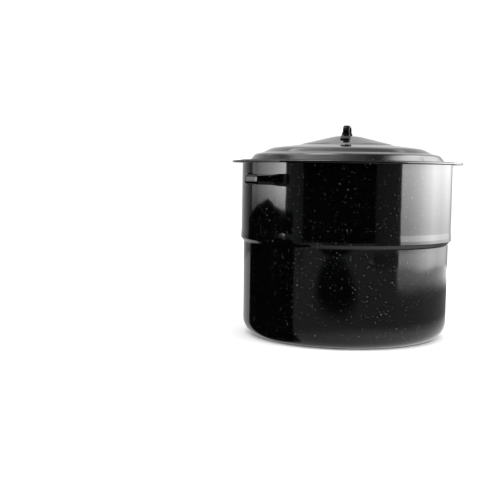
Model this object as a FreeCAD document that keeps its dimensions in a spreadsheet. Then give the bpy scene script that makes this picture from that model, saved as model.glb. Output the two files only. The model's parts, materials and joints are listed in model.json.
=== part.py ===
import FreeCAD, Part
import math
import os

import Sketcher

# Water bath canner: a drawn and enamelled steel pot with two strap handles welded to its wall,
# an inset domed lid with a bridge handle, and a welded wire rack with two folding bails.
# Millimetres, +Z up. The origin is the centre of the pot's base, on the surface it stands on.
# The pot's handles are at -X and +X.

DIMENSIONS = [
    # pot
    ("rim_height", 306.0, "top face of the brim above the base"),
    ("brim_radius", 202.0, "outer radius of the brim"),
    ("brim_curl", 4.2, "height and width of the curled edge of the brim"),
    ("wall_radius", 184.0, "outside of the upper wall"),
    ("lower_radius", 180.0, "outside of the lower wall, just under the step"),
    ("base_radius", 179.2, "outside of the lower wall, run down to the base"),
    ("corner_radius", 29.0, "outside radius between the base and the wall"),
    ("sheet", 1.1, "enamelled steel of the pot"),
    ("step_foot", 165.0, "height where the wall leaves the lower radius"),
    ("bead_radius", 185.0, "outside of the bead above the step"),
    ("bead_low", 171.0, "underside of the bead"),
    ("bead_high", 177.0, "top of the bead's full radius"),
    ("bead_end", 186.5, "height where the bead has died into the upper wall"),
    ("brim_drop", 7.0, "height of the ring of wall that the brim is drawn from"),
    # side handles
    ("strap", 3.0, "thickness of the side handles"),
    ("strap_width", 17.5, "height of the side handles' strap"),
    ("handle_height", 273.5, "middle of the side handles above the base"),
    ("handle_reach", 24.5, "how far the side handles stand out from the wall"),
    ("foot_out", 60.0, "far end of a side handle's foot, from the handle's middle"),
    ("foot_in", 50.0, "near end of a side handle's foot, from the handle's middle"),
    ("bow_half", 16.0, "half the width of a side handle's outer run"),
    ("weld", 0.15, "depth that welded pieces sink into each other"),
    # lid: heights are above the top of the brim
    ("lid_sheet", 1.0, "enamelled steel of the lid"),
    ("crown_radius", 20.0, "flat middle of the crown"),
    ("crown_height", 44.6, "top of the crown"),
    ("cap_radius", 77.0, "edge of the crown's cone"),
    ("cap_height", 31.0, "height at the edge of the crown's cone"),
    ("step_radius", 82.5, "foot of the small step round the crown"),
    ("step_height", 28.8, "height at the foot of the small step"),
    ("plateau_radius", 133.0, "edge of the sloping plateau"),
    ("plateau_height", 22.6, "height at the edge of the plateau"),
    ("ledge_radius", 147.5, "foot of the slope under the plateau"),
    ("ledge_height", 14.8, "height at the foot of that slope"),
    ("shoulder_radius", 162.0, "edge of the lower shoulder"),
    ("shoulder_height", 11.4, "height at the edge of the lower shoulder"),
    ("channel_radius", 174.8, "inner wall of the channel inside the brim"),
    ("channel_depth", 4.0, "floor of the channel below the top of the brim"),
    ("plug_radius", 181.8, "outer wall of the channel, inside the pot's mouth"),
    ("lid_radius", 188.0, "outer radius of the lid's flange"),
    ("lid_gap", 0.3, "clearance between the lid's flange and the brim"),
    # lid handle
    ("bridge", 3.0, "thickness of the lid handle's strap"),
    ("bridge_width", 14.5, "width of the lid handle's strap"),
    ("bridge_top", 63.2, "top of the lid handle above the brim"),
    ("bridge_half", 26.0, "half the width of the handle's arch, at the strap's middle"),
    ("bridge_foot", 53.0, "far end of the lid handle's feet"),
    ("bridge_turn", 44.5, "the lid handle's long axis, turned from +X"),
    # rack
    ("wire", 3.2, "wire of the dividers, bails and well"),
    ("ring_wire", 4.0, "wire of the base rings"),
    ("hoop_wire", 5.0, "wire of the top hoop"),
    ("rack_gap", 0.4, "clearance under the rack"),
    ("hoop_height", 76.0, "middle of the top hoop above the base"),
    ("upright_radius", 166.0, "outer uprights of the dividers"),
    ("well_radius", 50.0, "inner uprights of the dividers"),
    ("divider_bend", 28.0, "bend of a divider at the foot of its outer upright"),
    ("well_bend", 8.0, "bend of a divider at the foot of its inner upright"),
    ("outer_ring", 134.0, "radius of the outer base ring"),
    ("middle_ring", 96.0, "radius of the middle base ring"),
    ("inner_ring", 64.0, "radius of the inner base ring"),
    ("cross_offset", 13.0, "distance of each centre wire from the rack's middle"),
    # bails
    ("bail_half", 45.0, "half the distance between the eyes of a bail"),
    ("eye_play", 1.0, "clearance between a bail's eye and the hoop"),
    ("bail_leg", 118.0, "height of the shelf above the hoop"),
    ("bail_shelf", 11.0, "how far the shelf steps out towards the wall"),
    ("bail_height", 156.0, "height of the grip above the hoop"),
    ("fold_gap", 0.3, "clearance between a folded bail and the well's ring"),
    ("bail_bend", 5.0, "bend of the wire at the shelf"),
    ("grip_bend", 12.0, "bend of the wire at the ends of the grip"),
]
DIVIDERS = 8
HALF_BAY = 180.0 / DIVIDERS

doc = FreeCAD.newDocument("water_bath_canner")
dims = doc.addObject("Spreadsheet::Sheet", "Dims")
for row, (alias, number, note) in enumerate(DIMENSIONS, start=1):
    dims.set(f"A{row}", note)
    dims.set(f"B{row}", str(number))
    dims.setAlias(f"B{row}", alias)
doc.recompute()

parts = []


def sheet_value(text):
    """The number that an expression on the sheet gives, such as "Dims.sheet * 2"."""
    return float(dims.evalExpression(text.replace("Dims.", "")))


def new_body(label, turn="0"):
    """A body for one sub-part, turned about the vertical axis by an expression in degrees."""
    body = doc.addObject("PartDesign::Body", label)
    body.Label = label
    body.Placement = FreeCAD.Placement(
        FreeCAD.Vector(0, 0, 0), FreeCAD.Rotation(FreeCAD.Vector(0, 0, 1), sheet_value(turn))
    )
    parts.append(body)
    return body


def new_sketch(body, name, plane="XZ_Plane", offset="0"):
    """A sketch on one of the body's own origin planes, moved along its normal."""
    sketch = body.newObject("Sketcher::SketchObject", name)
    support = [item for item in body.Origin.OriginFeatures if item.Role == plane]
    sketch.AttachmentSupport = [(support[0], "")]
    sketch.MapMode = "FlatFace"
    sketch.setExpression("AttachmentOffset.Base.z", offset)
    return sketch


def pin(sketch, geometry, point, spot):
    """Hold a sketch point at (x, y), two expressions on the sheet."""
    for kind, axis, text in zip(("DistanceX", "DistanceY"), (-2, -1), spot):
        size = sheet_value(text)
        if size == 0:
            sketch.addConstraint(Sketcher.Constraint("PointOnObject", geometry, point, axis))
        elif size > 0:
            held = Sketcher.Constraint(kind, -1, 1, geometry, point, size)
            sketch.setExpression(f"Constraints[{sketch.addConstraint(held)}]", text)
        else:
            held = Sketcher.Constraint(kind, geometry, point, -1, 1, -size)
            sketch.setExpression(f"Constraints[{sketch.addConstraint(held)}]", f"-({text})")


def rounding(before, spot, after, radius):
    """The arc that rounds a corner: its first and last point, its centre and its turn."""
    way_in = (spot - before).normalize()
    way_out = (after - spot).normalize()
    turn = way_in.getAngle(way_out)
    left = way_in.cross(way_out).z > 0
    cut = radius * math.tan(turn / 2)
    inward = (way_out - way_in).normalize()
    centre = spot + inward * (radius / math.cos(turn / 2))
    return spot - way_in * cut, spot + way_out * cut, centre, left


def outline(sketch, corners, closed=True):
    """Straight runs through the corners, in order. A corner is (x, y), or (x, y, radius) where
    it is rounded, and each is an expression on the sheet that the sketch stays bound to."""
    spots = [FreeCAD.Vector(sheet_value(c[0]), sheet_value(c[1]), 0) for c in corners]
    count = len(corners)
    runs = count if closed else count - 1
    starts = list(spots)
    ends = list(spots)
    arcs = {}
    for index, corner in enumerate(corners):
        if len(corner) == 3:
            before = spots[index - 1]
            after = spots[(index + 1) % count]
            arcs[index] = rounding(before, spots[index], after, sheet_value(corner[2]))
            ends[index], starts[index] = arcs[index][:2]
    lines = []
    for index in range(runs):
        segment = Part.LineSegment(starts[index], ends[(index + 1) % count])
        lines.append(sketch.addGeometry(segment, False))
    for index, corner in enumerate(corners):
        if index in arcs:
            round_corner(sketch, corner, spots[index], arcs[index], lines[index - 1], lines[index])
        elif closed or 0 < index < count - 1:
            joined = Sketcher.Constraint("Coincident", lines[index - 1], 2, lines[index], 1)
            sketch.addConstraint(joined)
            pin(sketch, lines[index], 1, corner[:2])
        elif index == 0:
            pin(sketch, lines[0], 1, corner[:2])
        else:
            pin(sketch, lines[-1], 2, corner[:2])


def round_corner(sketch, corner, spot, arc, line_in, line_out):
    """Join two runs with a tangent arc, and keep both runs aimed at the corner itself."""
    first, last, centre, left = arc
    angles = [math.atan2(p.y - centre.y, p.x - centre.x) for p in (first, last)]
    if not left:
        angles.reverse()
    if angles[1] < angles[0]:
        angles[1] += 2 * math.pi
    circle = Part.Circle(centre, FreeCAD.Vector(0, 0, 1), (first - centre).Length)
    curve = sketch.addGeometry(Part.ArcOfCircle(circle, *angles), False)
    mark = sketch.addGeometry(Part.Point(spot), True)
    entry, leave = (1, 2) if left else (2, 1)
    sketch.addConstraint(Sketcher.Constraint("Tangent", line_in, 2, curve, entry))
    sketch.addConstraint(Sketcher.Constraint("Tangent", curve, leave, line_out, 1))
    sketch.addConstraint(Sketcher.Constraint("PointOnObject", mark, 1, line_in))
    sketch.addConstraint(Sketcher.Constraint("PointOnObject", mark, 1, line_out))
    size = Sketcher.Constraint("Radius", curve, sheet_value(corner[2]))
    sketch.setExpression(f"Constraints[{sketch.addConstraint(size)}]", corner[2])
    pin(sketch, mark, 1, corner[:2])


def revolve(body, name, corners):
    """A closed section in the XZ plane, turned about the vertical axis."""
    sketch = new_sketch(body, f"{name}_section")
    outline(sketch, corners)
    turned = body.newObject("PartDesign::Revolution", name)
    turned.Profile = sketch
    turned.ReferenceAxis = (sketch, ["V_Axis"])
    turned.Angle = 360
    doc.recompute()
    return turned


def hollow(body, name, solid, height, thickness):
    """Shell a solid inwards, leaving it open at its flat face at the height given."""
    level = sheet_value(height)
    flat = [
        f"Face{i}"
        for i, face in enumerate(solid.Shape.Faces, start=1)
        if abs(face.BoundBox.ZMin - level) < 1e-4 and abs(face.BoundBox.ZMax - level) < 1e-4
    ]
    shell = body.newObject("PartDesign::Thickness", name)
    shell.Base = (solid, flat)
    shell.setExpression("Value", thickness)
    shell.Reversed = True
    shell.Mode = "Skin"
    shell.Join = "Arc"
    doc.recompute()
    return shell


def sweep(body, name, corners, section, plane="XZ_Plane", offset="0"):
    """A section, drawn by its own function, swept along an open line with rounded corners."""
    spine = new_sketch(body, f"{name}_line", plane, offset)
    outline(spine, corners, closed=False)
    doc.recompute()
    profile = body.newObject("Sketcher::SketchObject", f"{name}_section")
    profile.AttachmentSupport = [(spine, "Edge1")]
    profile.MapMode = "NormalToEdge"
    section(profile)
    pipe = body.newObject("PartDesign::AdditivePipe", name)
    pipe.Profile = profile
    pipe.Spine = (spine, [])
    doc.recompute()
    return pipe


def round_section(diameter):
    """A function that draws a round wire's section."""

    def draw(sketch):
        radius = f"{diameter} / 2"
        circle = Part.Circle(FreeCAD.Vector(0, 0, 0), FreeCAD.Vector(0, 0, 1), sheet_value(radius))
        ring = sketch.addGeometry(circle, False)
        sketch.addConstraint(Sketcher.Constraint("Coincident", ring, 3, -1, 1))
        size = Sketcher.Constraint("Radius", ring, sheet_value(radius))
        sketch.setExpression(f"Constraints[{sketch.addConstraint(size)}]", radius)

    return draw


def strap_section(width, thickness, rounded):
    """A function that draws a flat strap's section. Its x is across the plane of a line drawn in
    the XZ plane, and in the plane of a line drawn in the XY plane."""

    def draw(sketch):
        side = f"{width} / 2"
        face = f"{thickness} / 2"
        corners = [(f"-{side}", f"-{face}"), (side, f"-{face}"), (side, face), (f"-{side}", face)]
        outline(sketch, [(*corner, rounded) for corner in corners])

    return draw


def make_pot():
    body = new_body("pot_body")
    neck = "Dims.rim_height - Dims.brim_drop"
    drawn = revolve(body, "drawn_wall", [
        ("0", "0"),
        ("Dims.base_radius", "0", "Dims.corner_radius"),
        ("Dims.lower_radius", "Dims.step_foot", "Dims.sheet * 4"),
        ("Dims.bead_radius", "Dims.bead_low", "Dims.sheet * 2"),
        ("Dims.bead_radius", "Dims.bead_high", "Dims.sheet * 8"),
        ("Dims.wall_radius", "Dims.bead_end", "Dims.sheet * 12"),
        ("Dims.wall_radius", neck),
        ("0", neck),
    ])
    hollow(body, "pot_shell", drawn, neck, "Dims.sheet")
    curl_foot = "Dims.rim_height - Dims.brim_curl"
    curl_inside = "Dims.brim_radius - Dims.brim_curl"
    curl_round = "Dims.brim_curl * 0.48"
    inside = "Dims.wall_radius - Dims.sheet"
    flange_under = "Dims.rim_height - Dims.sheet"
    revolve(body, "brim", [
        (inside, neck),
        (inside, "Dims.rim_height", "Dims.sheet"),
        ("Dims.brim_radius", "Dims.rim_height", curl_round),
        ("Dims.brim_radius", curl_foot, curl_round),
        (curl_inside, curl_foot, curl_round),
        (curl_inside, flange_under),
        ("Dims.wall_radius", flange_under, "Dims.sheet * 2"),
        ("Dims.wall_radius", neck),
    ])


def make_side_handle(label, turn):
    body = new_body(label, turn)
    middle = "(Dims.wall_radius - Dims.weld + Dims.strap / 2)"
    far = f"sqrt({middle} ^ 2 - Dims.foot_out ^ 2)"
    near = f"sqrt({middle} ^ 2 - Dims.foot_in ^ 2)"
    out = "Dims.wall_radius + Dims.handle_reach - Dims.strap / 2"
    bend = "Dims.strap * 3"
    bow = "Dims.strap * 4"
    line = [
        (far, "-Dims.foot_out"),
        (near, "-Dims.foot_in", bend),
        (out, "-Dims.bow_half", bow),
        (out, "Dims.bow_half", bow),
        (near, "Dims.foot_in", bend),
        (far, "Dims.foot_out"),
    ]
    section = strap_section("Dims.strap", "Dims.strap_width", "Dims.strap * 0.45")
    sweep(body, "strap", line, section, "XY_Plane", "Dims.handle_height")


def above_brim(name):
    return f"Dims.rim_height + Dims.{name}"


def make_lid():
    body = new_body("lid_cover")
    floor = "Dims.rim_height - Dims.channel_depth"
    domed = revolve(body, "dome", [
        ("0", floor),
        ("Dims.channel_radius", floor),
        ("Dims.shoulder_radius", above_brim("shoulder_height"), "Dims.lid_sheet * 9"),
        ("Dims.ledge_radius", above_brim("ledge_height"), "Dims.lid_sheet * 6"),
        ("Dims.plateau_radius", above_brim("plateau_height"), "Dims.lid_sheet * 34"),
        ("Dims.step_radius", above_brim("step_height"), "Dims.lid_sheet * 8"),
        ("Dims.cap_radius", above_brim("cap_height"), "Dims.lid_sheet * 9"),
        ("Dims.crown_radius", above_brim("crown_height"), "Dims.lid_sheet * 70"),
        ("0", above_brim("crown_height")),
    ])
    hollow(body, "lid_shell", domed, floor, "Dims.lid_sheet")
    under = "Dims.rim_height + Dims.lid_gap"
    foot = f"{floor} - Dims.lid_sheet"
    top = f"{under} + Dims.lid_sheet"
    start = "Dims.channel_radius - Dims.lid_sheet * 1.5"
    wall = "Dims.plug_radius - Dims.lid_sheet"
    revolve(body, "lid_flange", [
        (start, foot),
        ("Dims.plug_radius", foot, "Dims.lid_sheet * 1.3"),
        ("Dims.plug_radius", under, "Dims.lid_sheet * 0.3"),
        ("Dims.lid_radius", under),
        ("Dims.lid_radius", top),
        (wall, top, "Dims.lid_sheet * 1.3"),
        (wall, floor, "Dims.lid_sheet * 0.3"),
        (start, floor),
    ])


def make_lid_handle():
    body = new_body("lid_handle", "Dims.bridge_turn")
    slope = "(Dims.crown_height - Dims.cap_height) / (Dims.cap_radius - Dims.crown_radius)"
    lift = "Dims.bridge / 2 - Dims.weld"

    def on_cone(reach):
        return f"{above_brim('crown_height')} - ({reach} - Dims.crown_radius) * {slope} + {lift}"

    top = f"{above_brim('bridge_top')} - Dims.bridge / 2"
    foot = on_cone("Dims.bridge_foot")
    heel = on_cone("Dims.bridge_half")
    line = [
        ("-Dims.bridge_foot", foot),
        ("-Dims.bridge_half", heel, "Dims.bridge * 1.6"),
        ("-Dims.bridge_half", top, "Dims.bridge * 4.2"),
        ("Dims.bridge_half", top, "Dims.bridge * 4.2"),
        ("Dims.bridge_half", heel, "Dims.bridge * 1.6"),
        ("Dims.bridge_foot", foot),
    ]
    sweep(body, "strap", line, strap_section("Dims.bridge_width", "Dims.bridge", "Dims.bridge * 0.4"))


FLOOR_WIRE = "(Dims.sheet + Dims.rack_gap + Dims.wire / 2)"
RING_HEIGHT = f"({FLOOR_WIRE} + Dims.wire / 2 + Dims.ring_wire / 2 - Dims.weld)"
HOOP_RADIUS = "(Dims.upright_radius + Dims.wire / 2 + Dims.hoop_wire / 2 - Dims.weld)"
WELL_RADIUS = "(Dims.well_radius + Dims.wire - Dims.weld)"
# A folded bail lies level with its stepped-out end just clear of the well's ring.
WELL_HEIGHT = "(Dims.hoop_height + Dims.bail_shelf - Dims.wire - Dims.fold_gap)"


def make_ring(label, radius, wire, height):
    ring = doc.addObject("Part::Torus", label)
    ring.Label = label
    ring.setExpression("Radius1", radius)
    ring.setExpression("Radius2", f"{wire} / 2")
    ring.setExpression("Placement.Base.z", height)
    parts.append(ring)


def make_divider(number):
    body = new_body(f"rack_divider_{number}", f"{HALF_BAY * (2 * number - 1)}")
    line = [
        ("Dims.upright_radius", "Dims.hoop_height + Dims.hoop_wire / 4"),
        ("Dims.upright_radius", FLOOR_WIRE, "Dims.divider_bend"),
        ("Dims.well_radius", FLOOR_WIRE, "Dims.well_bend"),
        ("Dims.well_radius", f"{WELL_HEIGHT} + Dims.wire / 4"),
    ]
    sweep(body, "bent_wire", line, round_section("Dims.wire"))


def make_centre_wire(label, side):
    rod = doc.addObject("Part::Cylinder", label)
    rod.Label = label
    half = "sqrt(Dims.inner_ring ^ 2 - Dims.cross_offset ^ 2) + Dims.ring_wire / 2"
    rod.setExpression("Radius", "Dims.wire / 2")
    rod.setExpression("Height", f"2 * ({half})")
    rod.Placement.Rotation = FreeCAD.Rotation(FreeCAD.Vector(0, 1, 0), 90)
    rod.setExpression("Placement.Base.x", f"-({half})")
    rod.setExpression("Placement.Base.y", f"{side} * Dims.cross_offset")
    rod.setExpression("Placement.Base.z", FLOOR_WIRE)
    parts.append(rod)


def bent_wire(corners, bends, radius):
    """A round wire bent in space: straight runs joined by tangent arcs in one wire path."""
    edges = []
    here = corners[0]
    for before, spot, after, bend in zip(corners, corners[1:], corners[2:], bends):
        way_in = (spot - before).normalize()
        way_out = (after - spot).normalize()
        turn = way_in.getAngle(way_out)
        cut = bend * math.tan(turn / 2)
        inward = (way_out - way_in).normalize()
        middle = spot + inward * (bend / math.cos(turn / 2) - bend)
        first = spot - way_in * cut
        last = spot + way_out * cut
        edges.append(Part.LineSegment(here, first).toShape())
        edges.append(Part.Arc(first, middle, last).toShape())
        here = last
    edges.append(Part.LineSegment(here, corners[-1]).toShape())
    path = Part.Wire(edges)
    start = (corners[1] - corners[0]).normalize()
    section = Part.Wire(Part.Circle(corners[0], start, radius).toShape())
    return path.makePipeShell([section], True, False)


def make_bail(label, side):
    """A bail's wire steps out towards the wall and back over the brim's height, so it isn't
    flat. Its eyes are rings round the hoop, in planes square to the hinge line."""
    wire = sheet_value("Dims.wire / 2")
    half = sheet_value("Dims.bail_half")
    hoop = sheet_value(HOOP_RADIUS)
    level = sheet_value("Dims.hoop_height")
    eye = sheet_value("Dims.hoop_wire / 2 + Dims.eye_play + Dims.wire / 2")
    hinge = math.sqrt(hoop**2 - half**2)
    out = hinge + sheet_value("Dims.bail_shelf")
    shelf = level + sheet_value("Dims.bail_leg")
    grip = level + sheet_value("Dims.bail_height")
    leg = [(hinge, level + eye), (hinge, shelf), (out, shelf), (out, grip)]
    corners = [FreeCAD.Vector(side * x, -half, z) for x, z in leg]
    corners += [FreeCAD.Vector(side * x, half, z) for x, z in reversed(leg)]
    step = sheet_value("Dims.bail_bend")
    top = sheet_value("Dims.grip_bend")
    solid = bent_wire(corners, [step, step, top, top, step, step], wire)
    for end in (-half, half):
        centre = FreeCAD.Vector(side * hinge, end, level)
        ring = Part.makeTorus(eye, wire, centre, FreeCAD.Vector(0, 1, 0))
        solid = solid.fuse(ring)
    bail = doc.addObject("Part::Feature", label)
    bail.Label = label
    bail.Shape = solid
    parts.append(bail)


make_pot()
make_side_handle("side_handle_right", "0")
make_side_handle("side_handle_left", "180")
make_lid()
make_lid_handle()
make_ring("rack_top_hoop", HOOP_RADIUS, "Dims.hoop_wire", "Dims.hoop_height")
make_ring("rack_well_ring", WELL_RADIUS, "Dims.wire", WELL_HEIGHT)
make_ring("rack_base_ring_outer", "Dims.outer_ring", "Dims.ring_wire", RING_HEIGHT)
make_ring("rack_base_ring_middle", "Dims.middle_ring", "Dims.ring_wire", RING_HEIGHT)
make_ring("rack_base_ring_inner", "Dims.inner_ring", "Dims.ring_wire", RING_HEIGHT)
for divider in range(1, DIVIDERS + 1):
    make_divider(divider)
make_centre_wire("rack_centre_wire_front", -1)
make_centre_wire("rack_centre_wire_back", 1)
make_bail("rack_bail_left", -1)
make_bail("rack_bail_right", 1)
doc.recompute()

broken = [item.Name for item in doc.Objects if {"Invalid", "Error"} & set(item.State)]
if broken:
    raise RuntimeError(f"objects that failed: {broken}")
for part in parts:
    if part.Shape.isNull() or not part.Shape.isValid() or len(part.Shape.Solids) != 1:
        raise RuntimeError(f"{part.Label} is not one valid solid")

os.makedirs("parts", exist_ok=True)
for part in parts:
    part.Shape.exportStep(f"parts/{part.Label}.step")
    print(f"{part.Label}: {part.Shape.Volume / 1000:.1f} cm3, {part.Shape.BoundBox}")
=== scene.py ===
import json
import math

import bmesh
import bpy
from mathutils import Matrix, Vector

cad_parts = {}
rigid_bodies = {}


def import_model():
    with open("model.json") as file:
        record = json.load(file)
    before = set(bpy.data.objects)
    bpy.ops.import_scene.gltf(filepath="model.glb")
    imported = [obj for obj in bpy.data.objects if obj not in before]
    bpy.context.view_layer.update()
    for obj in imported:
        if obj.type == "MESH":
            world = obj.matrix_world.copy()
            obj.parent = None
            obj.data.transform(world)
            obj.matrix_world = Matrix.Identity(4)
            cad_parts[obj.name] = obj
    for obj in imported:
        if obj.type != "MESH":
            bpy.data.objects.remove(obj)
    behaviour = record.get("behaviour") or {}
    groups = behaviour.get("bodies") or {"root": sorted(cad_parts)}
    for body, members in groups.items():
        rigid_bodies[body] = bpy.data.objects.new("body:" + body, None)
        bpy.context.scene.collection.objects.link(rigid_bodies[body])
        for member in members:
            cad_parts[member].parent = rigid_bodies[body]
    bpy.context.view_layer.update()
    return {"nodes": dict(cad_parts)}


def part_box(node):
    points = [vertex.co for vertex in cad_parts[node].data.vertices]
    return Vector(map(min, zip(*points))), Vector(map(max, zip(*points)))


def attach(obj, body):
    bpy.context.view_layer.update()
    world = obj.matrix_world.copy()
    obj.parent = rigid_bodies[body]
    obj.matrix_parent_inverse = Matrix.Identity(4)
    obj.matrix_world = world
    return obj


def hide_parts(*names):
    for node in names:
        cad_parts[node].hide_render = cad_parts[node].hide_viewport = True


# Water bath canner: the looks. Metres, in the CAD frame: +Z up, the origin under the middle of
# the pot, the pot's handles at -X and +X. The outer sizes come from the CAD boxes, and the
# profiles between them are given here.

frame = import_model()

MM = 0.001
FULL_TURN = 2 * math.pi

# --- sizes, from the frame -----------------------------------------------------------------

_, pot_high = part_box("pot_body")
_, bridge_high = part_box("lid_handle")
handle_low, handle_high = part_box("side_handle_right")

BRIM_RADIUS = pot_high.y
RIM = pot_high.z
WALL_RADIUS = BRIM_RADIUS - 18 * MM
POT_SHEET = 1.1 * MM
LID_SHEET = 1.0 * MM
STRAP_SHEET = 1.1 * MM

# The brim's curled edge: how far down it turns, the radius of its corners, and its width.
CURL_DEPTH = 4.2 * MM
CURL_RADIUS = 2.0 * MM
CURL_WIDTH = 5 * MM

# The lid's crown: a low cone from the middle's flat spot out to the first step. Heights are
# above the rim.
CROWN_RADIUS, CROWN_HEIGHT = 0.020, 44.6 * MM
CONE_RADIUS, CONE_HEIGHT = 0.077, 31.0 * MM

# Pressed straps: the gap between sections, and the power of a circle's sine and cosine that
# makes each section half a superellipse.
STRAP_GAP = 1.6 * MM
SECTION_POWER = 2 / 3.4


# --- meshes --------------------------------------------------------------------------------

def rounded(corners, closed=True, turn_step=math.radians(7)):
    """Points of a line through (x, y) corners, with an arc at each (x, y, radius) corner."""
    points = []
    count = len(corners)
    for index, corner in enumerate(corners):
        here = Vector(corner[:2])
        if len(corner) < 3 or (not closed and index in (0, count - 1)):
            points.append(here)
            continue
        way_in = (here - Vector(corners[index - 1][:2])).normalized()
        way_out = (Vector(corners[(index + 1) % count][:2]) - here).normalized()
        turn = way_in.angle(way_out)
        cut = corner[2] * math.tan(turn / 2)
        centre = here + (way_out - way_in).normalized() * corner[2] / math.cos(turn / 2)
        first = here - way_in * cut - centre
        steps = max(2, math.ceil(turn / turn_step))
        side = 1 if way_in.cross(way_out) > 0 else -1
        for step in range(steps + 1):
            points.append(centre + Matrix.Rotation(side * turn * step / steps, 2) @ first)
    return points


def divided(points, longest, closed=True):
    """The same line with points added, so that no run is longer than the length given."""
    result = []
    count = len(points)
    for index in range(count if closed else count - 1):
        here = points[index]
        after = points[(index + 1) % count]
        steps = max(1, math.ceil((after - here).length / longest))
        result += [here.lerp(after, step / steps) for step in range(steps)]
    if not closed:
        result.append(points[-1])
    return result


def finished(name, bm):
    """The object made from a bmesh, smooth shaded."""
    bmesh.ops.remove_doubles(bm, verts=bm.verts, dist=1e-6)
    bmesh.ops.recalc_face_normals(bm, faces=bm.faces)
    mesh = bpy.data.meshes.new(name)
    bm.to_mesh(mesh)
    bm.free()
    for face in mesh.polygons:
        face.use_smooth = True
    piece = bpy.data.objects.new(name, mesh)
    bpy.context.scene.collection.objects.link(piece)
    return piece


def skin(bm, rings, closed_rings=True, closed_path=False):
    """Quads between rings of vertices."""
    count = len(rings[0])
    last = len(rings) if closed_path else len(rings) - 1
    for index in range(last):
        here = rings[index]
        after = rings[(index + 1) % len(rings)]
        for k in range(count if closed_rings else count - 1):
            corner = (here[k], after[k], after[(k + 1) % count], here[(k + 1) % count])
            if len({v.co.to_tuple(9) for v in corner}) >= 3:
                bm.faces.new(corner)


def lathe(name, profile, segments=288):
    """A closed profile of (radius, height) points turned about the vertical axis."""
    bm = bmesh.new()
    rings = []
    for step in range(segments):
        angle = FULL_TURN * step / segments
        c, s = math.cos(angle), math.sin(angle)
        rings.append([bm.verts.new((p.x * c, p.x * s, p.y)) for p in profile])
    skin(bm, rings, closed_path=True)
    return finished(name, bm)


def offset_line(points, distance):
    """An open line moved to its left by a distance, for the inner face of a sheet."""
    result = []
    for index, here in enumerate(points):
        before = points[max(index - 1, 0)]
        after = points[min(index + 1, len(points) - 1)]
        way = (after - before).normalized()
        result.append(here + Vector((-way.y, way.x)) * distance)
    return result


# --- pot -----------------------------------------------------------------------------------

def make_pot():
    """One drawn shell, run from the middle of the floor up the outside, over the curled brim
    and down the inside. The base has a shallow pressed ring, so that it stands on its edge."""
    longest = 12 * MM
    up_to_bead = [
        (0, 0.5 * MM),
        (0.104, 0.5 * MM, 0.004),
        (0.112, 0, 0.004),
        (WALL_RADIUS - 4.8 * MM, 0, 0.029),
        (WALL_RADIUS - 4.0 * MM, 0.165, 4.4 * MM),
        (WALL_RADIUS + 0.8 * MM, 0.171, 2.2 * MM),
        (WALL_RADIUS + 0.8 * MM, 0.177, 8.8 * MM),
        (WALL_RADIUS, 0.1865, 13.2 * MM),
    ]
    outside = rounded(up_to_bead + [
        (WALL_RADIUS, RIM - POT_SHEET, 2.4 * MM),
        (BRIM_RADIUS - 4.2 * MM, RIM - POT_SHEET, 0.5 * MM),
        (BRIM_RADIUS - 4.0 * MM, RIM - CURL_DEPTH, 1.7 * MM),
        (BRIM_RADIUS, RIM - CURL_DEPTH, CURL_RADIUS),
        (BRIM_RADIUS, RIM, CURL_RADIUS),
        (BRIM_RADIUS - CURL_WIDTH, RIM),
    ], closed=False)
    below_mouth = RIM - 4 * MM
    wall = rounded(up_to_bead + [(WALL_RADIUS, below_mouth)], closed=False)
    inside = offset_line(divided(wall, longest, closed=False), POT_SHEET)
    inside[0].x = 0
    mouth = rounded([
        (WALL_RADIUS - POT_SHEET, below_mouth),
        (WALL_RADIUS - POT_SHEET, RIM, 1.5 * MM),
        (BRIM_RADIUS - CURL_WIDTH, RIM),
    ], closed=False)
    profile = divided(outside, longest, closed=False) + mouth[::-1][1:] + inside[::-1][1:]
    return lathe("canner_pot", profile)


# --- lid -----------------------------------------------------------------------------------

def lid_outside():
    """The lid's upper face, from the middle of the crown out over the channel to the flange."""
    return rounded([
        (0, RIM + CROWN_HEIGHT),
        (CROWN_RADIUS, RIM + CROWN_HEIGHT, 0.070),
        (CONE_RADIUS, RIM + CONE_HEIGHT, 0.009),
        (0.0825, RIM + 28.8 * MM, 0.008),
        (0.133, RIM + 22.6 * MM, 0.034),
        (0.1475, RIM + 14.8 * MM, 0.006),
        (0.162, RIM + 11.4 * MM, 0.009),
        (0.1744, RIM - 3.9 * MM, 1.2 * MM),
        (0.1805, RIM - 3.9 * MM, 1.2 * MM),
        (0.1808, RIM + 1.3 * MM, 1.4 * MM),
        (0.1862, RIM + 1.3 * MM),
    ], closed=False, turn_step=math.radians(4))


def make_lid():
    """One pressed shell with its upper face, a rounded edge, and the face under it."""
    top = divided(lid_outside(), 6 * MM, closed=False)
    under = offset_line(top, -LID_SHEET)
    under[0].x = 0
    middle = (top[-1] + under[-1]) / 2
    steps = 8
    edge = [
        middle + Matrix.Rotation(-math.pi * step / steps, 2) @ (top[-1] - middle)
        for step in range(1, steps)
    ]
    return lathe("canner_lid", top + edge + under[::-1])


# --- pressed straps ------------------------------------------------------------------------

def arc_lengths(points):
    """How far along an open line each of its points lies."""
    lengths = [0.0]
    for here, after in zip(points, points[1:]):
        lengths.append(lengths[-1] + (after - here).length)
    return lengths


def blend_value(stops, t):
    """A value that eases between (place, value) stops."""
    if t <= stops[0][0]:
        return stops[0][1]
    for (start, low), (end, high) in zip(stops, stops[1:]):
        if t <= end:
            share = (t - start) / (end - start)
            share = share * share * (3 - 2 * share)
            return low + (high - low) * share
    return stops[-1][1]


def arch(half_width, height, steps=20):
    """Half a rounded box as (across, out) points, from one foot over to the other."""
    points = []
    for step in range(steps + 1):
        angle = math.pi * step / steps
        c, s = math.cos(angle), math.sin(angle)
        across = half_width * math.copysign(abs(c) ** SECTION_POWER, c)
        points.append((across, height * abs(s) ** SECTION_POWER))
    return points


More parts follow.
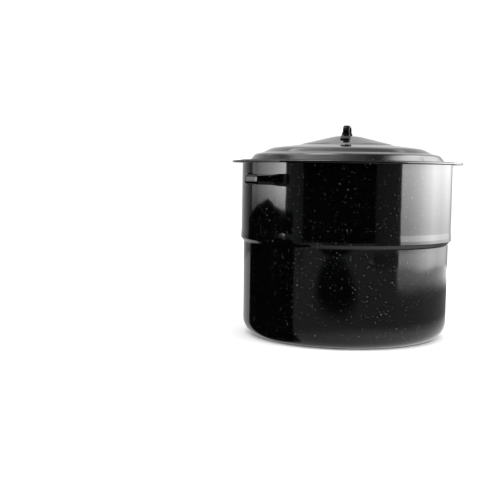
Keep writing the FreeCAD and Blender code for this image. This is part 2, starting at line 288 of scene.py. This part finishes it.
def channel_section(width, depth, sheet):
    """A pressed strap's section: (across, out) points, crowned outside and hollow behind."""
    least = 0.1
    inside = arch(max(width / 2 - sheet, width * least), max(depth - sheet, depth * least))
    return arch(width / 2, depth) + inside[::-1]


def strap(name, line, widths, depths, place):
    """A pressed strap swept along a flat line. widths and depths are stops along half its
    length, from the middle (0) to the tip (1). place turns (along, out, across) into space."""
    points = divided(line, STRAP_GAP, closed=False)
    lengths = arc_lengths(points)
    half = lengths[-1] / 2
    bm = bmesh.new()
    rings = []
    for index, here in enumerate(points):
        before = points[max(index - 1, 0)]
        after = points[min(index + 1, len(points) - 1)]
        way = (after - before).normalized()
        out = Vector((way.y, -way.x))
        t = abs(lengths[index] - half) / half
        section = channel_section(blend_value(widths, t), blend_value(depths, t), STRAP_SHEET)
        ring = []
        for across, lift in section:
            spot = here + out * lift
            ring.append(bm.verts.new(place(spot.x, spot.y, across)))
        rings.append(ring)
    skin(bm, rings)
    bm.faces.new(rings[0])
    bm.faces.new(rings[-1][::-1])
    return finished(name, bm)


def make_lid_handle():
    """The bridge on the crown, a strap turned away from the line of the side handles."""
    turn = Matrix.Rotation(math.radians(44.5), 3, "Z")
    top = bridge_high.z - 4.0 * MM
    slope = (CROWN_HEIGHT - CONE_HEIGHT) / (CONE_RADIUS - CROWN_RADIUS)

    def above_cone(reach, lift):
        return RIM + CROWN_HEIGHT - (reach - CROWN_RADIUS) * slope + lift

    tip, heel, shoulder = 0.053, 0.0255, 0.0265
    line = rounded([
        (tip, above_cone(tip, 0.1 * MM)),
        (heel, above_cone(heel, 2.2 * MM), 0.0055),
        (shoulder, top, 0.0135),
        (-shoulder, top, 0.0135),
        (-heel, above_cone(heel, 2.2 * MM), 0.0055),
        (-tip, above_cone(tip, 0.1 * MM)),
    ], closed=False, turn_step=math.radians(6))
    widths = [(0, 12.2 * MM), (0.38, 11.8 * MM), (0.6, 14.6 * MM), (0.74, 16.4 * MM),
              (0.96, 16.6 * MM), (1, 14 * MM)]
    depths = [(0, 4.0 * MM), (0.55, 4.0 * MM), (0.75, 3.0 * MM), (0.96, 2.2 * MM), (1, 1.4 * MM)]
    return strap("lid_bridge_handle", line, widths, depths,
                 lambda along, out, across: turn @ Vector((along, across, out)))


def make_side_handle(name, side):
    """A bow of pressed strap on the wall, standing out along X, its feet flared and flat."""
    middle = (handle_low.z + handle_high.z) / 2
    reach = abs(handle_high.x) - 4.2 * MM
    skin_radius = WALL_RADIUS + 0.1 * MM
    tip, heel, bow = 0.060, 0.049, 0.016

    def on_wall(across):
        return math.sqrt(skin_radius**2 - across**2)

    line = rounded([
        (-tip, on_wall(tip)),
        (-heel, on_wall(heel) + 0.3 * MM, 0.008),
        (-bow, reach, 0.012),
        (bow, reach, 0.012),
        (heel, on_wall(heel) + 0.3 * MM, 0.008),
        (tip, on_wall(tip)),
    ][::-1], closed=False, turn_step=math.radians(6))
    widths = [(0, 16.0 * MM), (0.5, 16.4 * MM), (0.8, 20.4 * MM), (0.94, 21.0 * MM), (1, 15 * MM)]
    depths = [(0, 4.2 * MM), (0.6, 4.2 * MM), (0.8, 3.0 * MM), (0.95, 2.0 * MM), (1, 1.2 * MM)]
    return strap(name, line, widths, depths,
                 lambda along, out, across: Vector((side * out, side * along, middle + across)))


# --- materials -----------------------------------------------------------------------------

def new_material(name, base, roughness, metallic=0.0):
    """A new material, with its node tree and its shader."""
    material = bpy.data.materials.new(name)
    material.use_nodes = True
    shader = material.node_tree.nodes["Principled BSDF"]
    shader.inputs["Base Color"].default_value = (*base, 1)
    shader.inputs["Roughness"].default_value = roughness
    shader.inputs["Metallic"].default_value = metallic
    return material, material.node_tree, shader


def node(tree, kind, **inputs):
    """A node of a kind with its inputs set: a value by name, or a socket to link from."""
    made = tree.nodes.new(kind)
    for name, value in inputs.items():
        socket = made.inputs[name.replace("_", " ")]
        if isinstance(value, bpy.types.NodeSocket):
            tree.links.new(value, socket)
        else:
            socket.default_value = value
    return made


def maths(tree, operation, first, second=0.0, third=0.0, clamp=False):
    """The result of a maths node whose inputs are numbers or sockets."""
    made = tree.nodes.new("ShaderNodeMath")
    made.operation = operation
    made.use_clamp = clamp
    for socket, value in zip(made.inputs, (first, second, third)):
        if isinstance(value, bpy.types.NodeSocket):
            tree.links.new(value, socket)
        else:
            socket.default_value = value
    return made.outputs[0]


def total(tree, first, second):
    """Two values added."""
    return maths(tree, "ADD", first, second)


def product(tree, first, second):
    """Two values multiplied."""
    return maths(tree, "MULTIPLY", first, second)


def length_of(tree, vector):
    """How long a vector is."""
    made = tree.nodes.new("ShaderNodeVectorMath")
    made.operation = "LENGTH"
    tree.links.new(vector, made.inputs[0])
    return made.outputs["Value"]


def flecks(tree, where, scale, radius, soft):
    """A mask of round flecks of enamel, where the point in a cell lies close to the surface,
    with a random value for each fleck. Flecks are from a quarter of the radius up to all of it."""
    cells = node(tree, "ShaderNodeTexVoronoi", Vector=where, Scale=scale, Randomness=1.0)
    spread = node(tree, "ShaderNodeSeparateColor", Color=cells.outputs["Color"])
    size = maths(tree, "MULTIPLY_ADD", spread.outputs[0], radius * 0.75, radius * 0.25)
    near = maths(tree, "SUBTRACT", size, cells.outputs["Distance"])
    return maths(tree, "DIVIDE", near, soft, clamp=True), spread.outputs[1]


def mix_colour(tree, share, first, second):
    """A colour between two others, each a colour or a socket."""
    made = tree.nodes.new("ShaderNodeMix")
    made.data_type = "RGBA"
    tree.links.new(share, made.inputs["Factor"])
    for socket, value in ((made.inputs[6], first), (made.inputs[7], second)):
        if isinstance(value, bpy.types.NodeSocket):
            tree.links.new(value, socket)
        else:
            socket.default_value = (*value, 1)
    return made.outputs[2]


def make_enamel():
    """Black porcelain enamel, glossy and a little wavy, with fine white and grey flecks."""
    black = (0.0006, 0.0006, 0.0007)
    material, tree, shader = new_material("speckled_enamel", black, 0.07)
    shader.inputs["IOR"].default_value = 1.53
    place = tree.nodes.new("ShaderNodeTexCoord").outputs["Object"]
    warp = node(tree, "ShaderNodeTexNoise", Vector=place, Scale=900.0, Detail=1.0)
    shift = tree.nodes.new("ShaderNodeVectorMath")
    shift.operation = "MULTIPLY_ADD"
    tree.links.new(warp.outputs["Color"], shift.inputs[0])
    shift.inputs[1].default_value = (0.15 * MM, 0.15 * MM, 0.15 * MM)
    tree.links.new(place, shift.inputs[2])
    where = shift.outputs[0]
    fine, fine_tint = flecks(tree, where, scale=300.0, radius=0.125, soft=0.03)
    large, large_tint = flecks(tree, where, scale=110.0, radius=0.068, soft=0.02)
    fine_colour = mix_colour(tree, fine_tint, (0.19, 0.175, 0.16), (0.42, 0.42, 0.42))
    large_colour = mix_colour(tree, large_tint, (0.18, 0.17, 0.155), (0.52, 0.52, 0.52))
    base = mix_colour(tree, large, mix_colour(tree, fine, black, fine_colour), large_colour)
    tree.links.new(base, shader.inputs["Base Color"])
    ripple = node(tree, "ShaderNodeTexNoise", Vector=place, Scale=55.0, Detail=2.0, Roughness=0.45)
    peel = node(tree, "ShaderNodeTexNoise", Vector=place, Scale=420.0, Detail=1.0)
    height = maths(tree, "MULTIPLY_ADD", peel.outputs["Fac"], 0.06, ripple.outputs["Fac"])
    bump = node(tree, "ShaderNodeBump", Height=height, Strength=0.10, Distance=0.6 * MM)
    tree.links.new(bump.outputs["Normal"], shader.inputs["Normal"])
    haze = node(tree, "ShaderNodeTexNoise", Vector=place, Scale=18.0, Detail=3.0)
    polish = maths(tree, "MULTIPLY_ADD", haze.outputs["Fac"], 0.06, 0.045)
    tree.links.new(polish, shader.inputs["Roughness"])
    return material


def make_plain_enamel():
    """The lid handle's plain black enamel, without flecks and less bright than the pot's."""
    material, tree, shader = new_material("plain_enamel", (0.001, 0.001, 0.001), 0.1)
    shader.inputs["IOR"].default_value = 1.14
    place = tree.nodes.new("ShaderNodeTexCoord").outputs["Object"]
    ripple = node(tree, "ShaderNodeTexNoise", Vector=place, Scale=160.0, Detail=2.0)
    wave = ripple.outputs["Fac"]
    bump = node(tree, "ShaderNodeBump", Height=wave, Strength=0.1, Distance=0.6 * MM)
    tree.links.new(bump.outputs["Normal"], shader.inputs["Normal"])
    tree.links.new(maths(tree, "MULTIPLY_ADD", wave, 0.1, 0.06), shader.inputs["Roughness"])
    return material


def make_chrome():
    """Bright plated wire with a faint drawn texture and slightly duller patches."""
    material, tree, shader = new_material("plated_wire", (0.55, 0.55, 0.57), 0.16, 1.0)
    place = tree.nodes.new("ShaderNodeTexCoord").outputs["Object"]
    patches = node(tree, "ShaderNodeTexNoise", Vector=place, Scale=70.0, Detail=4.0)
    rough = maths(tree, "MULTIPLY_ADD", patches.outputs["Fac"], 0.22, 0.06)
    tree.links.new(rough, shader.inputs["Roughness"])
    colour = mix_colour(tree, patches.outputs["Fac"], (0.42, 0.42, 0.44), (0.66, 0.66, 0.67))
    tree.links.new(colour, shader.inputs["Base Color"])
    grain = node(tree, "ShaderNodeTexNoise", Vector=place, Scale=600.0, Detail=2.0)
    wave = grain.outputs["Fac"]
    bump = node(tree, "ShaderNodeBump", Height=wave, Strength=0.12, Distance=0.3 * MM)
    tree.links.new(bump.outputs["Normal"], shader.inputs["Normal"])
    return material


# --- the object ----------------------------------------------------------------------------

enamel = make_enamel()
plain = make_plain_enamel()
chrome = make_chrome()

# Each piece with its material, the body it rides on and the CAD piece it stands for.
enamelled = [
    (make_pot(), enamel, "pot", "pot_body"),
    (make_side_handle("side_handle_bow_right", 1), enamel, "pot", "side_handle_right"),
    (make_side_handle("side_handle_bow_left", -1), enamel, "pot", "side_handle_left"),
    (make_lid(), enamel, "lid", "lid_cover"),
    (make_lid_handle(), plain, "lid", "lid_handle"),
]
for piece, finish, body, replaced in enamelled:
    piece.data.materials.append(finish)
    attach(piece, body)
    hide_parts(replaced)

# The rack's wires and bails are shown as they are in CAD, in chrome.
for name, cad in frame["nodes"].items():
    if name.startswith("rack_"):
        for holder in [cad, *cad.children_recursive]:
            if holder.type == "MESH":
                for slot in holder.material_slots:
                    slot.material = chrome

# --- stage, lights and camera --------------------------------------------------------------

# The camera stands to the left of the front, and is turned and tipped from the pot's middle.
VIEW_TURN = math.radians(-41)
CAMERA_DISTANCE = 1.724
CAMERA_HEIGHT = RIM - 14.8 * MM
CAMERA_YAW = 0.098
CAMERA_PITCH = 0.084
CAMERA_ROLL = 0.014
LENS_MM = 69.55

stand = Matrix.Rotation(VIEW_TURN, 3, "Z")


def seen_from_camera(degrees_right, distance, height):
    """A place at an angle to the right of the line from the pot to the camera."""
    angle = math.radians(degrees_right)
    flat = stand @ Vector((math.sin(angle), -math.cos(angle), 0)) * distance
    return Vector((flat.x, flat.y, height))


def make_camera():
    """A camera a little lower than the rim, turned, tipped and rolled by small angles."""
    data = bpy.data.cameras.new("studio_camera")
    data.lens = LENS_MM
    data.sensor_width = 36
    data.clip_start = 0.01
    camera = bpy.data.objects.new("studio_camera", data)
    bpy.context.scene.collection.objects.link(camera)
    right = Vector((math.cos(CAMERA_YAW), math.sin(CAMERA_YAW), 0))
    level = Vector((-math.sin(CAMERA_YAW), math.cos(CAMERA_YAW), 0))
    up = Vector((0, 0, 1))
    forward = level * math.cos(CAMERA_PITCH) - up * math.sin(CAMERA_PITCH)
    over = level * math.sin(CAMERA_PITCH) + up * math.cos(CAMERA_PITCH)
    across = right * math.cos(CAMERA_ROLL) + over * math.sin(CAMERA_ROLL)
    top = over * math.cos(CAMERA_ROLL) - right * math.sin(CAMERA_ROLL)
    axes = Matrix((across, top, -forward)).transposed()
    turned = (stand @ axes).to_4x4()
    turned.translation = seen_from_camera(0, CAMERA_DISTANCE, CAMERA_HEIGHT)
    camera.matrix_world = turned
    bpy.context.scene.camera = camera


def make_lamp(name, place, size, brightness):
    """A soft area light aimed at the object, which no reflection shows."""
    data = bpy.data.lights.new(name, "AREA")
    data.shape = "SQUARE"
    data.size = size
    data.energy = brightness * size**2 * math.pi
    light = bpy.data.objects.new(name, data)
    bpy.context.scene.collection.objects.link(light)
    light.location = place
    light.rotation_euler = (Vector((0, 0, RIM / 2)) - place).to_track_quat("-Z", "Y").to_euler()
    light.visible_camera = False
    light.visible_glossy = False


def flat_piece(name, corners):
    """One face through corners given in the camera's frame: right, away and up."""
    bm = bmesh.new()
    bm.faces.new([bm.verts.new(stand @ Vector(corner)) for corner in corners])
    piece = finished(name, bm)
    return piece


def only_reflected(piece):
    """Leaves a stage piece to the reflections: the camera and the lights pass it by."""
    piece.visible_camera = False
    piece.visible_diffuse = False
    piece.visible_shadow = False
    piece.visible_transmission = False


def make_floor():
    """The pale floor that the camera sees."""
    floor = flat_piece("studio_floor", [(-6, -3, 0), (6, -3, 0), (6, 9, 0), (-6, 9, 0)])
    material, tree, shader = new_material("pale_floor", (0.9, 0.9, 0.9), 0.8)
    grain = node(tree, "ShaderNodeTexNoise", Scale=3.0, Detail=3.0)
    colour = mix_colour(tree, grain.outputs["Fac"], (0.89, 0.89, 0.89), (0.91, 0.91, 0.91))
    tree.links.new(colour, shader.inputs["Base Color"])
    shader.inputs["Specular IOR Level"].default_value = 0.0
    floor.data.materials.append(material)
    floor.visible_glossy = False


def in_camera_frame(tree):
    """The place on a stage piece, turned to the camera's frame, and its parts there: right,
    away and up."""
    place = tree.nodes.new("ShaderNodeTexCoord").outputs["Object"]
    turned = node(tree, "ShaderNodeMapping", Vector=place)
    turned.inputs["Rotation"].default_value = (0, 0, -VIEW_TURN)
    parts = node(tree, "ShaderNodeSeparateXYZ", Vector=turned.outputs[0])
    return turned.outputs[0], parts.outputs


def eased(tree, value, start, end, first, last):
    """A value that eases from first to last while another goes from start to end."""
    made = node(tree, "ShaderNodeMapRange", Value=value, From_Min=start, From_Max=end,
                To_Min=first, To_Max=last)
    made.interpolation_type = "SMOOTHSTEP"
    return made.outputs["Result"]


def graded(tree, value, stops):
    """A value that runs straight between (place, level) stops."""
    first, last = stops[0][0], stops[-1][0]
    most = max(level for _, level in stops)
    share = node(tree, "ShaderNodeMapRange", Value=value, From_Min=first, From_Max=last)
    ramp = node(tree, "ShaderNodeValToRGB", Fac=share.outputs["Result"])
    elements = ramp.color_ramp.elements
    while len(elements) < len(stops):
        elements.new(1.0)
    for element, (place, level) in zip(elements, stops):
        element.position = (place - first) / (last - first)
        element.color = (level / most, level / most, level / most, 1)
    return product(tree, ramp.outputs["Color"], most)


def glowing(piece, shade):
    """Gives a stage piece a plain glow, its level worked out by a function of the node tree."""
    material = bpy.data.materials.new(f"{piece.name}_glow")
    material.use_nodes = True
    tree = material.node_tree
    tree.nodes.clear()
    glow = node(tree, "ShaderNodeEmission", Strength=shade(tree))
    finish = tree.nodes.new("ShaderNodeOutputMaterial")
    tree.links.new(glow.outputs[0], finish.inputs["Surface"])
    material.cycles.emission_sampling = "NONE"
    piece.data.materials.append(material)
    only_reflected(piece)


def degrees_right(tree, right, away):
    """The angle to the right of the line from the pot to the camera."""
    return maths(tree, "DEGREES", maths(tree, "ARCTAN2", right, product(tree, away, -1.0)))


def make_soft_box(name, distance, low, high, stops, foot):
    """A curved wall of light round one side. stops are (degrees right, level), and foot is a
    list of (height, share) stops that the level is multiplied by."""
    start, end = stops[0][0], stops[-1][0]
    steps = 48
    bm = bmesh.new()
    rows = []
    for step in range(steps + 1):
        angle = start + (end - start) * step / steps
        rows.append([bm.verts.new(seen_from_camera(angle, distance, z)) for z in (low, high)])
    skin(bm, rows, closed_rings=False)
    box = finished(name, bm)

    def shade(tree):
        _, (right, away, up) = in_camera_frame(tree)
        level = graded(tree, degrees_right(tree, right, away), stops)
        return product(tree, level, graded(tree, up, foot))

    glowing(box, shade)


def distance_from(tree, place, centre, radii, turn=0.0):
    """How far a place is from the middle of an ellipse on a flat piece, 1 at its edge."""
    shape = node(tree, "ShaderNodeMapping", Vector=place)
    shape.vector_type = "TEXTURE"
    shape.inputs["Location"].default_value = centre
    shape.inputs["Rotation"].default_value = (0, 0, math.radians(turn))
    shape.inputs["Scale"].default_value = (*radii, 1)
    return length_of(tree, shape.outputs[0])


def make_ceiling():
    """Overhead cloths, graded across: one set above and before the object, the other behind,
    brighter at its far end, with a small lamp on the left."""
    height = 1.6
    corners = [(-1.5, -0.7), (1.7, -0.7), (1.7, 1.6), (-1.5, 1.6)]
    ceiling = flat_piece("studio_ceiling", [(x, y, height) for x, y in corners])
    before = [(-1.4, 0.8), (-1.2, 0.55), (-1.08, 1.0), (-0.93, 2.6), (-0.8, 2.85), (-0.5, 2.3),
              (-0.24, 1.85), (0.05, 0.95), (0.33, 0.5), (0.5, 0.25), (0.63, 0.4), (0.75, 1.8),
              (0.89, 5.6), (1.05, 7.7), (1.2, 8.0), (1.35, 6.6), (1.6, 2.0)]
    behind = [(-0.9, 1.3), (-0.56, 1.27), (-0.31, 1.2), (-0.14, 0.93), (0.03, 0.7), (0.2, 0.57),
              (0.36, 0.5), (0.53, 0.5), (0.7, 0.9), (1.2, 2.4)]

    def shade(tree):
        place, (right, away, _) = in_camera_frame(tree)
        aside = product(tree, maths(tree, "ABSOLUTE", right), 0.7)
        share = eased(tree, maths(tree, "SUBTRACT", away, aside), 0.2, 0.45, 0.0, 1.0)
        rest = maths(tree, "SUBTRACT", 1.0, share)
        level = total(tree, product(tree, graded(tree, right, before), rest),
                      product(tree, graded(tree, right, behind), share))
        off = distance_from(tree, place, (-0.33, 0.32, height), (0.34, 0.38))
        lamp = eased(tree, off, 0.3, 1.0, 8.0, 0.0)
        far_end = eased(tree, away, 1.15, 1.5, 0.0, 0.8)
        return total(tree, total(tree, level, lamp), far_end)

    glowing(ceiling, shade)


def make_table_painted_light():
    """What the lower wall reflects in the floor's place: a table top seen only in reflections,
    whose glow is painted light: bright close to the pot, far off on the right and behind on the
    left, dim elsewhere, with a painted dark patch for the camera's shape on it, and painted shade,
    black, on the left under the flag."""
    corners = [(-1.3, -2.1), (1.3, -2.1), (1.3, 1.2), (-1.3, 1.2)]
    table = flat_piece("studio_table", [(x, y, 0) for x, y in corners])

    def along(tree, right, away, share_right, share_away):
        return total(tree, product(tree, right, share_right), product(tree, away, share_away))

    def shade(tree):
        place, (right, away, _) = in_camera_frame(tree)
        reach = length_of(tree, place)
        # Painted light on the table: bright close to the pot, mostly to its right, and far off on
        # the right.
        near = product(tree, eased(tree, reach, 0.2, 0.42, 1.0, 0.0),
                       eased(tree, right, -0.22, 0.22, 0.02, 0.75))
        far = product(tree, eased(tree, reach, 0.75, 1.15, 0.0, 1.3),
                      eased(tree, degrees_right(tree, right, away), 53.0, 57.5, 0.0, 1.0))
        lit = total(tree, total(tree, near, far), 0.24)
        # Painted shade: the table's glow drops nearly to black on the left, under the flag.
        painted_flag_shade = eased(tree, along(tree, right, away, 0.543, -0.84), 0.086, 0.098, 0.02, 1.0)
        clear = maths(tree, "MAXIMUM", painted_flag_shade, eased(tree, right, -0.05, 0.0, 0.0, 1.0))
        # Painted light: a brighter patch behind the pot, on the left.
        behind = eased(tree, along(tree, right, away, 0.68, 0.73), -0.166, -0.156, 0.0, 0.6)
        behind = product(tree, behind, eased(tree, right, -0.2, 0.2, 1.0, 0.0))
        level = maths(tree, "MAXIMUM", product(tree, lit, clear), behind)
        # A painted dark patch in the table's glow, for the camera's shape in the reflections.
        off = distance_from(tree, place, (-0.18, -1.15, 0), (0.37, 0.68), -14)
        return product(tree, level, eased(tree, off, 0.75, 1.15, 0.05, 1.0))

    glowing(table, shade)


def make_flag():
    """A low black flag with a rounded top, which darkens the left of the lower wall."""
    top = [(0.21, 0.185), (0.18, 0.19), (0.05, 0.215), (-0.04, 0.223), (-0.115, 0.232),
           (-0.19, 0.219), (-0.26, 0.21), (-0.33, 0.206), (-0.43, 0.2)]
    outline = [(-0.43, 0), (0.21, 0)] + top
    across = -0.5
    flag = flat_piece("studio_flag", [(across, away, up) for away, up in outline])
    glowing(flag, lambda tree: 0.0)


def make_world():
    """White for what is seen past the object and for the light on matt things. What the enamel
    and the wires reflect is brightest high up behind the object, less bright behind it at its
    own level and overhead, and dark in front."""
    world = bpy.data.worlds.new("studio_world")
    world.use_nodes = True
    bpy.context.scene.world = world
    tree = world.node_tree
    background = tree.nodes["Background"]
    way = tree.nodes.new("ShaderNodeTexCoord").outputs["Generated"]
    along = tree.nodes.new("ShaderNodeVectorMath")
    along.operation = "DOT_PRODUCT"
    tree.links.new(way, along.inputs[0])
    along.inputs[1].default_value = stand @ Vector((0, 1, 0.8))
    reflected = eased(tree, along.outputs["Value"], 0.4, 1.25, 0.0, 0.88)
    path = tree.nodes.new("ShaderNodeLightPath")
    seen = product(tree, maths(tree, "SUBTRACT", 1.0, path.outputs["Is Glossy Ray"]), 1.15)
    tree.links.new(maths(tree, "MAXIMUM", reflected, seen), background.inputs["Strength"])
    background.inputs["Color"].default_value = (1, 1, 1, 1)


make_camera()
make_floor()
make_table_painted_light()
make_flag()
make_ceiling()
make_world()
bpy.context.scene.view_settings.view_transform = "Standard"

# The soft boxes stand on a circle round the pot, with dim cloths just outside it.
BOX_REACH, CLOTH_REACH = 1.4, 1.42
BOX_TOP, LOW_BOX_TOP = 1.3, 0.55
even_foot = [(-0.3, 1.0), (1.8, 1.0)]
right_foot = [
    (-0.02, 0.28), (0.0, 0.4), (0.03, 0.47), (0.1, 0.52), (0.2, 0.76), (0.3, 1.0), (1.8, 1.0),
]
left_foot = [(0.14, 0.1), (0.19, 0.6), (0.235, 1.0), (1.8, 1.0)]
make_soft_box("soft_box_right", BOX_REACH, -0.02, BOX_TOP, [
    (57, 7.4), (66, 7.9), (76, 9.4), (88, 11.8), (101, 12.2), (117, 7.2), (139, 3.6), (152, 1.2),
], right_foot)
make_soft_box("dim_box_right", CLOTH_REACH, 0.0, BOX_TOP, [(30, 0.1), (57, 0.18)], even_foot)
make_soft_box("soft_box_left", BOX_REACH, 0.0, LOW_BOX_TOP, [
    (-117, 0.8), (-107, 1.0), (-92, 2.6), (-80, 4.3), (-70, 6.6), (-63, 8.2),
], left_foot)
make_soft_box("dim_box_left", CLOTH_REACH, 0.0, BOX_TOP, [(-63, 0.2), (-43, 0.12)], even_foot)

LAMP_ANGLE, LAMP_REACH, LAMP_HEIGHT = 70, 1.6, 1.0
on_right = seen_from_camera(LAMP_ANGLE, LAMP_REACH, LAMP_HEIGHT)
on_left = seen_from_camera(-LAMP_ANGLE, LAMP_REACH, LAMP_HEIGHT)
make_lamp("lamp_above", Vector((0, 0, 2.2)), size=3.0, brightness=1.0)
make_lamp("lamp_right", on_right, size=1.2, brightness=4.0)
make_lamp("lamp_left", on_left, size=1.2, brightness=2.0)
